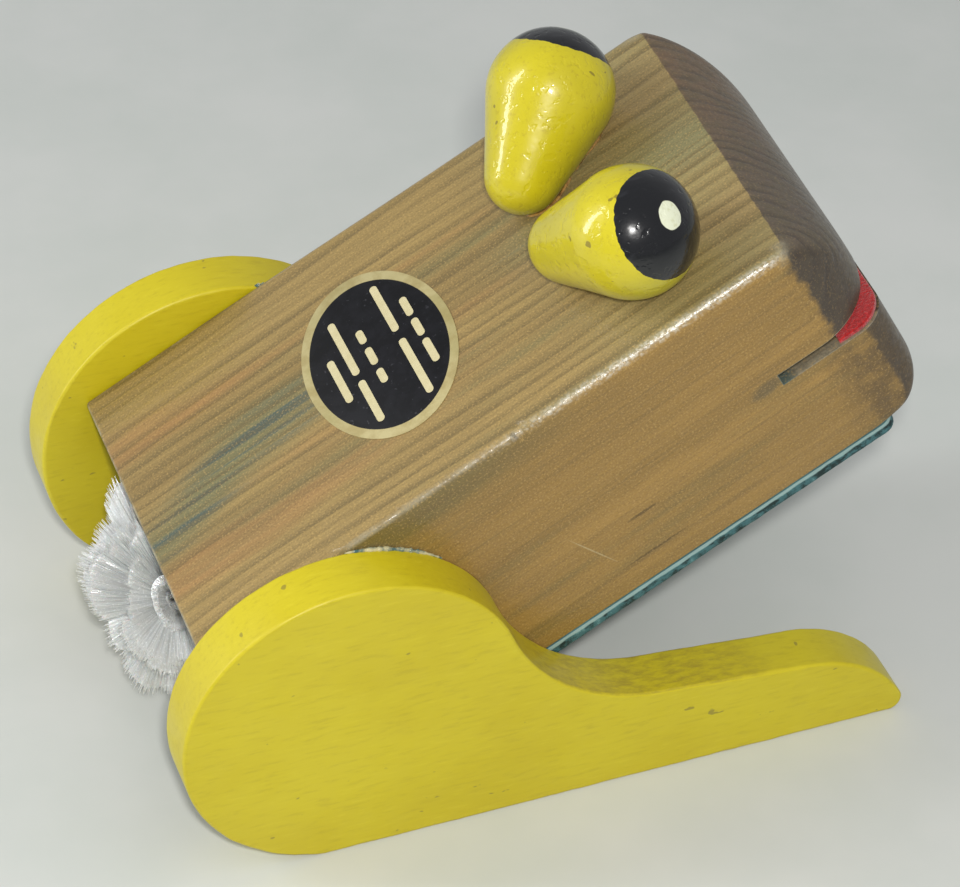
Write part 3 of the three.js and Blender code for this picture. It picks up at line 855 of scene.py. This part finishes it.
def build_plate():
    bottom = PLATE_TOP_Z - PLATE_THICKNESS
    outline = densify(rounded_rectangle(*PLATE_X, PLATE_HALF_WIDTH, 0.0, 0.003, 6), 0.0012)

    def edge(i):
        u, v = outline[i]
        return 0.00042 + 0.00016 * wobble(u, v, 0, 520) + 0.00010 * wobble(u, v, 0, 1400, 3)

    rings = rounded_slab(outline, bottom, PLATE_TOP_Z, edge, lambda u, v, h: (skew_snout(u, v), v, h), 3)
    piece = make_piece("bottom_board", [rings], replaces=["bottom_plate"])
    hole = [(PLUG_RADIUS, -0.001), (PLUG_RADIUS, PLATE_THICKNESS + 0.001)]
    cut(piece, lathe(hole, (PLUG_X, 0, bottom), 72))
    seat = [(0.0032, -0.0004), (0.0028, 0.0), (0.0028, 0.0004), (0.0015, 0.0021), (0.0015, 0.004)]
    for x, y in SCREW_SPOTS:
        cut(piece, lathe(seat, (x, y, bottom - 0.0001), 32))
    tidy_mesh(piece, 35)
    return piece


def build_stopper():
    """Rubber stopper: dished grip, rounded flange, plug with a swollen rim."""
    profile = [(0.0001, 0.0007), (0.0030, 0.0007), (0.0080, 0.0007), (0.0092, 0.00062), (0.0102, 0.0003),
               (0.0110, 0.00005), (0.0120, 0.0), (0.0162, 0.0), (0.0169, 0.00012), (0.0173, 0.0004),
               (0.0174, 0.0007), (0.0173, 0.0011), (0.0170, 0.0013), (0.0152, 0.0013), (0.0149, 0.0016),
               (0.0149, 0.0044), (0.01485, 0.0056), (0.0144, 0.0066), (0.0132, 0.0070), (0.0110, 0.0070),
               (0.0106, 0.0066), (0.0102, 0.0040), (0.0098, 0.0036), (0.0001, 0.0036)]
    bottom = PLATE_TOP_Z - PLATE_THICKNESS - 0.0014
    rings = lathe(profile, (PLUG_X, 0, bottom), 72)
    return make_piece("stopper", [rings], replaces=["coin_plug"], body="stopper")


def build_tongue():
    """A felt strip with a straight back edge; its front follows the lower lip, skew included."""
    front = SNOUT_X - TONGUE_GAP
    cut_line = rounded_rectangle(TONGUE_BACK_X, front, HALF_WIDTH - TONGUE_GAP, 0.0, LOWER_CORNER_RADIUS, 12)
    outline = [(skew_snout(x, y), y) for x, y in densify(cut_line, 0.0012)]
    low = MOUTH_FLOOR_Z + 0.0001
    rings = rounded_slab(
        outline, low, low + TONGUE_THICKNESS,
        lambda i: 0.00035 + 0.0001 * wobble(outline[i][0], outline[i][1], 0, 900),
        lambda u, v, h: (u, v, h + 0.00006 * wobble(u, v, h, 700, 3)), steps=3)
    piece = make_piece("felt_tongue", [rings], 60, ["tongue"])
    return piece


# ----------------------------------------------------------------------- label


def build_label():
    outline = [
        (LABEL_X + LABEL_HALF[0] * math.cos(a), LABEL_Y + LABEL_HALF[1] * math.sin(a))
        for a in (2 * math.pi * k / 160 for k in range(160))
    ]
    rings = rounded_slab(outline, 0.00002, LABEL_THICKNESS, lambda i: 0.00008,
                         lambda u, v, h: (u, v, h), steps=2)
    return make_piece("round_label", [rings], replaces=["label"])


def build_label_bars():
    """Five plain rows of short bars where a label would have writing."""
    rows = [
        (0.0697, [(0.0110, 0.0050), (0.0038, -0.0018), (-0.0030, -0.0105)]),
        (0.0655, [(0.0188, 0.0035), (0.0008, -0.0170)]),
        (0.0585, [(0.0100, 0.0058), (0.0042, -0.0012), (-0.0028, -0.0072)]),
        (0.0541, [(0.0165, -0.0008), (-0.0028, -0.0160)]),
        (0.0503, [(0.0072, -0.0064)]),
    ]
    tubes = [bar_rings(x, left, right) for x, bars in rows for left, right in bars]
    return make_piece("label_bars", tubes)


def bar_rings(x, left, right):
    """One bar with round ends, its top just above the label."""
    half = 0.00085
    outline = arc((x, right + half), half, 2 * QUARTER, 4 * QUARTER, 6)
    outline += arc((x, left - half), half, 0, 2 * QUARTER, 6)
    return [[(u, v, h) for u, v in outline] for h in (0.0001, LABEL_THICKNESS + 0.00003)]


# ------------------------------------------------------------------------ eyes


def eye_profile():
    """(radius, height along the axis) from the small end to the big one."""
    slope = math.asin((EYE_RADIUS - EYE_SMALL_RADIUS) / EYE_LENGTH)
    points = []
    for k in range(1, 20):
        angle = -math.pi / 2 + (math.pi / 2 - slope) * k / 19
        points.append((math.cos(angle) * EYE_SMALL_RADIUS, math.sin(angle) * EYE_SMALL_RADIUS - EYE_LENGTH))
    low_end, high_start = points[-1], (math.cos(-slope) * EYE_RADIUS, math.sin(-slope) * EYE_RADIUS)
    for k in range(1, 22):
        share = k / 22
        points.append((low_end[0] + (high_start[0] - low_end[0]) * share,
                       low_end[1] + (high_start[1] - low_end[1]) * share))
    for k in range(48):
        angle = -slope + (math.pi / 2 + slope) * k / 48
        points.append((math.cos(angle) * EYE_RADIUS, math.sin(angle) * EYE_RADIUS))
    return points


def build_eye(side, place, splay):
    sign = math.copysign(1.0, splay)
    axis = direction(splay, EYE_RISE)
    centre = Vector(place)
    turn = axis.to_track_quat("Z", "Y")
    rings = []
    for ring in lathe(eye_profile(), (0, 0, 0), 112):
        rings.append([centre + turn @ Vector(p) for p in ring])
    for ring in rings:
        for p in ring:
            swell = 0.00012 * wobble(p.x, p.y, p.z, 130, sign)
            p += (p - centre).normalized() * swell
            p.z = max(p.z, EYE_GLUE)
    piece = make_piece(f"{side}_eyeball", [rings], 40, [f"{side}_eye"])
    paint_eye(piece, centre, splay)
    build_glue_bead(side, sign, [p for ring in rings for p in ring])
    return piece


def direction(splay, rise):
    """A unit vector from its turn to the left and its rise, in level block coordinates."""
    return Vector((math.cos(rise) * math.cos(splay), math.cos(rise) * math.sin(splay), math.sin(rise)))


def paint_eye(piece, centre, splay):
    """Stores how far each point lies inside the black cap, and how far out of the dot."""
    cap_axis = direction(splay, CAP_RISE)
    dot_axis = direction(splay, DOT_RISE)
    mirror = math.copysign(1.0, splay)
    long_axis = Vector((0.168, -0.320 * mirror, 0.251)).normalized()
    long_axis = (long_axis - dot_axis * long_axis.dot(dot_axis)).normalized()
    short_axis = dot_axis.cross(long_axis)
    cap = piece.data.attributes.new("cap", "FLOAT", "POINT")
    dot = piece.data.attributes.new("dot", "FLOAT", "POINT")
    for k, vertex in enumerate(piece.data.vertices):
        offset = vertex.co - centre
        along = offset.normalized()
        cap.data[k].value = along.dot(cap_axis) - math.cos(CAP_HALF_ANGLE)
        out = math.hypot(offset.dot(long_axis) / DOT_HALF[0], offset.dot(short_axis) / DOT_HALF[1])
        dot.data[k].value = out if along.dot(dot_axis) > 0 else 9.0


def build_glue_bead(side, sign, eye_points):
    """Amber glue squeezed out along the eye's foot."""
    foot = [p for p in eye_points if p.z < 0.0011]
    middle = sum((Vector((p.x, p.y, 0)) for p in foot), Vector()) / len(foot)
    count = 96
    reach = [0.0] * count
    for p in foot:
        offset = Vector((p.x, p.y, 0)) - middle
        slot_index = int((math.atan2(offset.y, offset.x) / (2 * math.pi) + 1) * count) % count
        reach[slot_index] = max(reach[slot_index], offset.length)
    for k in range(count):
        if reach[k] == 0:
            reach[k] = max(reach[k - 1], reach[(k + 1) % count])
    path = []
    radii = []
    for k in range(count):
        smooth = sum(reach[(k + d) % count] for d in range(-3, 4)) / 7
        angle = 2 * math.pi * (k + 0.5) / count
        lump = 0.5 + 0.5 * wobble(math.cos(angle), math.sin(angle), sign, 2.6, 5)
        radii.append(0.00022 + 0.00055 * lump ** 2)
        point = middle + Vector((math.cos(angle), math.sin(angle), 0)) * (smooth - 0.0001)
        path.append(point + Vector((0, 0, 0.00012)))
    rings = tube_rings(path + path[:1], radii + radii[:1], 10)
    for ring in rings:
        for p in ring:
            p.z = max(p.z, 0.00003)
    make_piece(f"{side}_eye_glue", [rings], 70)


# ------------------------------------------------------------------------ legs


def leg_outline(left, right, top, thigh_radius):
    """Side view of a leg, anticlockwise in x and z: sole, toe, foot top, throat and thigh."""
    thigh = (left + thigh_radius, top - thigh_radius)
    foot_x = right - FOOT_TOP_BACK

    def foot_z(x):
        return FOOT_TOP_Z + FOOT_SLOPE * (x - foot_x)

    lean = math.atan(FOOT_SLOPE)
    lift = THROAT_RADIUS / math.cos(lean)
    reach = thigh_radius + THROAT_RADIUS
    throat_x = thigh[0] + reach
    for _ in range(40):
        throat_x = thigh[0] + math.sqrt(reach ** 2 - (foot_z(throat_x) + lift - thigh[1]) ** 2)
    throat = (throat_x, foot_z(throat_x) + lift)
    throat_start = math.atan2(thigh[1] - throat[1], thigh[0] - throat[0])
    heel_x = thigh[0] - math.sqrt(thigh_radius ** 2 - thigh[1] ** 2)
    heel_angle = math.atan2(-thigh[1], heel_x - thigh[0])
    tip = (right - TOE_TIP_RADIUS, TOE_TIP_RADIUS)
    toe_lift = TOE_RADIUS / math.cos(lean)
    gap = TOE_RADIUS - TOE_TIP_RADIUS
    toe_x = tip[0] - gap
    for _ in range(40):
        toe_x = tip[0] - math.sqrt(gap ** 2 - (tip[1] - foot_z(toe_x) + toe_lift) ** 2)
    toe = (toe_x, foot_z(toe_x) - toe_lift)
    toe_end = math.atan2(tip[1] - toe[1], tip[0] - toe[0])
    points = line((heel_x, 0.0), (tip[0], 0.0), 70)
    points += arc(tip, TOE_TIP_RADIUS, -QUARTER, toe_end, 9)[:-1]
    toe_top = arc(toe, TOE_RADIUS, toe_end, QUARTER + lean, 18)
    points += toe_top
    throat_arc = arc(throat, THROAT_RADIUS, -QUARTER + lean, throat_start, 36)
    points += line(toe_top[-1], throat_arc[0], 20)[1:]
    points += throat_arc[:-1]
    points += arc(thigh, thigh_radius, throat_start + math.pi, heel_angle + 2 * math.pi, 110)[:-1]
    return points


def build_leg(side, sign):
    low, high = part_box(f"{side}_leg")
    outline = leg_outline(low.x, high.x, high.z, THIGH_RADIUS[side])

    def edge(i):
        u, v = outline[i]
        return 0.00075 + 0.00030 * wobble(u, v, sign, 90) + 0.00022 * wobble(u, v, sign, 420, 2)

    rings = rounded_slab(outline, low.y, high.y, edge, lambda u, v, h: (u, h, v), steps=4)
    piece = make_piece(f"{side}_leg_board", [rings], 50, [f"{side}_leg"], matrix=LEVEL)
    weighted = piece.modifiers.new("flat faces", "WEIGHTED_NORMAL")
    weighted.keep_sharp = True
    return piece


def build_glue_crust():
    """Dried glue that shows along the inner top edge of each thigh."""
    tubes = []
    for side, sign, start, end, size in (("right", -1, 53, 88, 1.0), ("left", 1, 70, 76, 1.3)):
        low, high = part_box(f"{side}_leg")
        radius = THIGH_RADIUS[side]
        middle = Vector((low.x + radius, 0.0, high.z - radius))
        inner_y = sign * (HALF_WIDTH + 0.0004)
        path = []
        radii = []
        count = 90
        for k in range(count + 1):
            angle = math.radians(start + (end - start) * k / count)
            lump = 0.5 + 0.5 * wobble(k * 0.12, sign, 0.3, 1.7, 2) + 0.35 * wobble(k * 0.5, sign, 0.3, 1.3, 6)
            taper = math.sin(math.pi * min(max(k / count, 0.02), 0.98)) ** 0.4
            radii.append(size * taper * (0.00025 + 0.00050 * max(lump, 0.0)))
            ray = Vector((math.cos(angle), 0, math.sin(angle)))
            path.append(middle + ray * (radius + 0.0001) + Vector((0, inner_y, 0)))
        tubes.append(tube_rings(path, radii, 10))
    return make_piece("leg_glue", tubes, 70, matrix=LEVEL)


# ------------------------------------------------------------------------ tail


def build_tuft():
    """A mass of satin yarn: fans of filaments spread from the tack and part above it."""
    rng = np.random.default_rng(7)
    fans = []
    strands = []
    for polar, count, reach in FAN_LAYERS:
        for k in range(count):
            fan = {
                "turn": 2 * math.pi * (k + rng.uniform(-0.2, 0.2)) / count + polar,
                "polar": math.radians(polar + rng.uniform(-10, 10)),
                "half_angle": math.pi / count * rng.uniform(1.0, 1.3),
                "reach": reach * rng.uniform(0.82, 1.08),
                "tint": rng.uniform(-0.12, 0.1),
            }
            phase = rng.uniform(0, 6)
            if away_from_tack(fan["turn"], fan["polar"]).x < 0.3:
                fans.append(fan_tube(fan, phase))
                strands += strand_tubes(fan, rng)
    pieces = []
    for name, tubes, replaced in (("yarn_fans", fans, ["tail_tuft"]), ("yarn_strands", strands, [])):
        piece = make_piece(name, [rings for rings, _ in tubes], 80, replaced)
        set_shade(piece, [shade for _, shades in tubes for shade in shades])
        pieces.append(piece)
    return pieces


def away_from_tack(turn, polar):
    """Direction at an angle from the parting, which faces up and to the right side."""
    side = PARTING.cross(Vector((1, 0, 0))).normalized()
    other = PARTING.cross(side)
    ring = side * math.cos(turn) + other * math.sin(turn)
    return PARTING * math.cos(polar) + ring * math.sin(polar)


def fan_point(fan, u, t, deep):
    """A point of a fan: u across it (-1 to 1), t along it (0 to 1), deep below its surface (radians)."""
    bend = FAN_BEND * (1 - t) + FAN_BULGE * (1 - u * u)
    spread = math.sin(fan["polar"]) ** -0.5
    away = away_from_tack(fan["turn"] + u * fan["half_angle"] * spread, fan["polar"] - bend + deep)
    away.x = min(away.x, -0.02)
    reach = fan["reach"] * (1 - FAN_ROUNDING * min(u * u, 1.1))
    tip = Vector((away.x * TUFT_DEPTH, away.y * TUFT_HALF_WIDTH, away.z * TUFT_HALF_HEIGHT + TAIL_Z))
    p = TUFT_ROOT + (tip - TUFT_ROOT) * (0.03 + (reach - 0.03) * t)
    p.x = min(p.x, TUFT_FACE_X)
    return p


def fan_tube(fan, phase):
    """Rings and shades of the fan's body: a thick wedge, ridged along its length like combed filaments."""
    rings = []
    shades = []
    for k in range(FAN_STEPS + 1):
        t = k / FAN_STEPS
        columns = [2 * j / FAN_COLUMNS - 1 for j in range(FAN_COLUMNS + 1)]
        top = []
        for u in columns:
            ridge = 0.012 * math.sin(9 * u + phase) + 0.010 * math.sin(31 * u + 2 * phase)
            top.append(fan_point(fan, u, 0.95 * t, 0.02 + ridge))
        under = [fan_point(fan, u, 0.95 * t, 0.06 + FAN_THICKNESS * (1 - u * u)) for u in columns[::-1]]
        rings.append(top + under)
        # Painted shade: the fan darkens towards its root, on top of the fan's own tint
        shades += [0.25 + 0.6 * t + fan["tint"]] * len(rings[-1])
    return rings, shades


def strand_tubes(fan, rng):
    """Fine filaments on the fan and through its blunt end; all end unevenly."""
    tubes = []
    for _ in range(int(STRANDS_PER_RADIAN * fan["half_angle"])):
        brush = rng.uniform() < BRUSH_SHARE
        first = 0.72 if brush else rng.uniform(0.1, 0.5)
        u = rng.uniform(-1.04, 1.04)
        deep = rng.uniform(0.0, FAN_THICKNESS) if brush else rng.uniform(-0.015, 0.010)
        radius = rng.uniform(0.00006, 0.00011)
        end = rng.uniform(0.95, 1.04)
        drift = rng.uniform(-0.10, 0.10)
        strand_tint = rng.uniform(-0.25, 0.25)
        points = []
        for k in range(STRAND_STEPS + 1):
            t = first + (end - first) * k / STRAND_STEPS
            points.append(fan_point(fan, u + drift * (t - 0.5), t, deep))
        rings = tube_rings(points, [radius] * STRAND_STEPS + [radius * 0.6], 3)
        # Painted shade: each strand darkens towards the root, on top of fan and strand tints
        shades = [0.2 + 0.8 * (first + (1 - first) * k / STRAND_STEPS) + fan["tint"] + strand_tint
                  for k in range(STRAND_STEPS + 1) for _ in range(3)]
        tubes.append((rings, shades))
    return tubes


def build_tuft_core():
    """The dense inside of the tuft, seen between the fans."""
    rings = []
    count = 96
    steps = 40
    for k in range(1, steps):
        polar = math.pi / 2 * k / steps * 1.06
        ring = []
        for j in range(count):
            turn = 2 * math.pi * j / count
            d = Vector((-math.cos(polar), math.sin(polar) * math.cos(turn), math.sin(polar) * math.sin(turn)))
            lobe = 0.17 + 0.10 * smoothstep(0.2, 1.0, polar)
            lobe += 0.06 * wobble(d.x, d.y, d.z, 3.0, 2) + 0.02 * wobble(d.x, d.y, d.z, 14, 4)
            ring.append(Vector((min(d.x * TUFT_DEPTH * lobe, 0.0) + TUFT_FACE_X, d.y * TUFT_HALF_WIDTH * lobe,
                                d.z * TUFT_HALF_HEIGHT * lobe + TAIL_Z)))
        rings.append(ring)
    piece = make_piece("yarn_core", [rings], 60)
    # Painted shade: the whole core is painted dim, as it lies deep between the fans
    set_shade(piece, [0.35] * len(piece.data.vertices))
    return piece


def set_shade(piece, values):
    """Stores how bright the yarn is painted at each point, from 0 to 1, as painted shade and tint."""
    attribute = piece.data.attributes.new("shade", "FLOAT", "POINT")
    attribute.data.foreach_set("value", np.clip(values, 0.0, 1.0).astype(np.float32))


# ------------------------------------------------------------------- assembly

wood = stained_wood()
leg_yellow = yellow_paint("leg_paint", (170, 900, 1000))
eye_colours = eye_paint()
brass = metal("screw_brass", (176, 150, 92), (128, 104, 62))
tack = metal("tack_metal", (120, 78, 52), (74, 46, 34))
timber = two_tones("raw_wood", (900, 120, 900), (206, 178, 122), (176, 144, 92), Roughness=0.7)
rubber = two_tones("stopper_rubber", 800, (34, 33, 32), (58, 56, 54), limits=(0.35, 0.7),
                   rough=(0.5, 0.75), Specular_IOR_Level=0.4)
bar_ink = Surface("label_bars", Roughness=0.45)
bar_ink.colour(bar_ink.mix(bar_ink.noise(500, 3), (198, 186, 138), (222, 212, 172)))
fluff = yarn()
amber = glue("amber_glue", (176, 134, 66), (110, 76, 34))
crust = glue("leg_glue_crust", (206, 196, 150), (70, 104, 104))

finishes = [
    (build_block(), wood),
    (build_plate(), teal_wood()),
    (build_stopper(), rubber),
    (build_tongue(), red_felt()),
    (build_label(), label_paper()),
    (build_label_bars(), bar_ink.material),
    (build_tuft_core(), fluff),
    (build_glue_crust(), crust),
]
finishes += [(piece, fluff) for piece in build_tuft()]
for side, place, splay in EYES:
    finishes.append((build_eye(side, place, splay), eye_colours))
    finishes.append((bpy.data.objects[f"{side}_eye_glue"], amber))
    finishes.append((build_leg(side, math.copysign(1.0, splay)), leg_yellow))
for piece, material in finishes:
    piece.data.materials.clear()
    piece.data.materials.append(material)

for name, node in frame["nodes"].items():
    if node.hide_render:
        continue
    node.data.materials.clear()
    if "screw" in name:
        node.data.materials.append(brass)
    elif "tack" in name:
        node.data.materials.append(tack)
    else:
        node.data.materials.append(timber)

# ----------------------------------------------------------- floor and lights


def build_floor():
    """A pale, faintly uneven floor, large enough to fill every view from above."""
    mesh = bpy.data.meshes.new("floor")
    half = 3.0
    mesh.from_pydata([(-half, -half, 0), (half, -half, 0), (half, half, 0), (-half, half, 0)], [],
                     [(0, 1, 2, 3)])
    floor = add_object("floor", mesh)
    s = Surface("floor_paint", Roughness=0.6, Specular_IOR_Level=0.2)
    patch = s.ramp(s.noise(14, 4, 0.6), 0.3, 0.7)
    s.colour(s.mix(patch, (206, 210, 205), (214, 216, 212)))
    s.bump(s.noise(300, 3), 0.0001, 0.3)
    mesh.materials.append(s.material)


def add_light(name, place, target, size, power, colour, glints=True):
    """A soft rectangle of light, width by height; without glints it leaves no reflection of itself."""
    data = bpy.data.lights.new(name, "AREA")
    data.shape = "RECTANGLE"
    data.size, data.size_y = size
    data.energy = power
    data.color = colour
    light = add_object(name, data)
    light.location = place
    light.rotation_euler = (target - place).to_track_quat("-Z", "Y").to_euler()
    light.visible_glossy = glints


build_floor()
target = (cad_box[0] + cad_box[1]) / 2 + CAMERA_TARGET_OFFSET
camera_place = target - CAMERA_FORWARD * CAMERA_DISTANCE

add_light("window", target + WINDOW_PLACE, target, (0.16, 0.90), 5.6, (0.97, 0.99, 1.0))
add_light("flash", camera_place + FLASH_PLACE, target, (0.035, 0.035), 3.1, (1.0, 0.98, 0.95))
add_light("fill", target + FILL_PLACE, target, (0.8, 0.8), 1.7, (1.0, 0.99, 0.97), False)

world = bpy.data.worlds.new("studio")
bpy.context.scene.world = world
world.use_nodes = True
sky = world.node_tree.nodes["Background"].inputs
sky["Color"].default_value = (0.95, 0.97, 1.0, 1.0)
sky["Strength"].default_value = SKY_STRENGTH

camera_data = bpy.data.cameras.new("camera")
camera_data.lens = CAMERA_LENS
camera_data.sensor_width = 36
camera_data.clip_start = 0.01
camera_data.clip_end = 20
camera = add_object("camera", camera_data)
level_right = CAMERA_FORWARD.cross(Vector((0, 0, 1))).normalized()
level_up = level_right.cross(CAMERA_FORWARD)
right = level_right * math.cos(CAMERA_ROLL) + level_up * math.sin(CAMERA_ROLL)
up = level_up * math.cos(CAMERA_ROLL) - level_right * math.sin(CAMERA_ROLL)
turn = Matrix((right, up, -CAMERA_FORWARD)).transposed()
camera.matrix_world = Matrix.Translation(camera_place) @ turn.to_4x4()
bpy.context.scene.camera = camera
bpy.context.scene.view_settings.view_transform = "Standard"
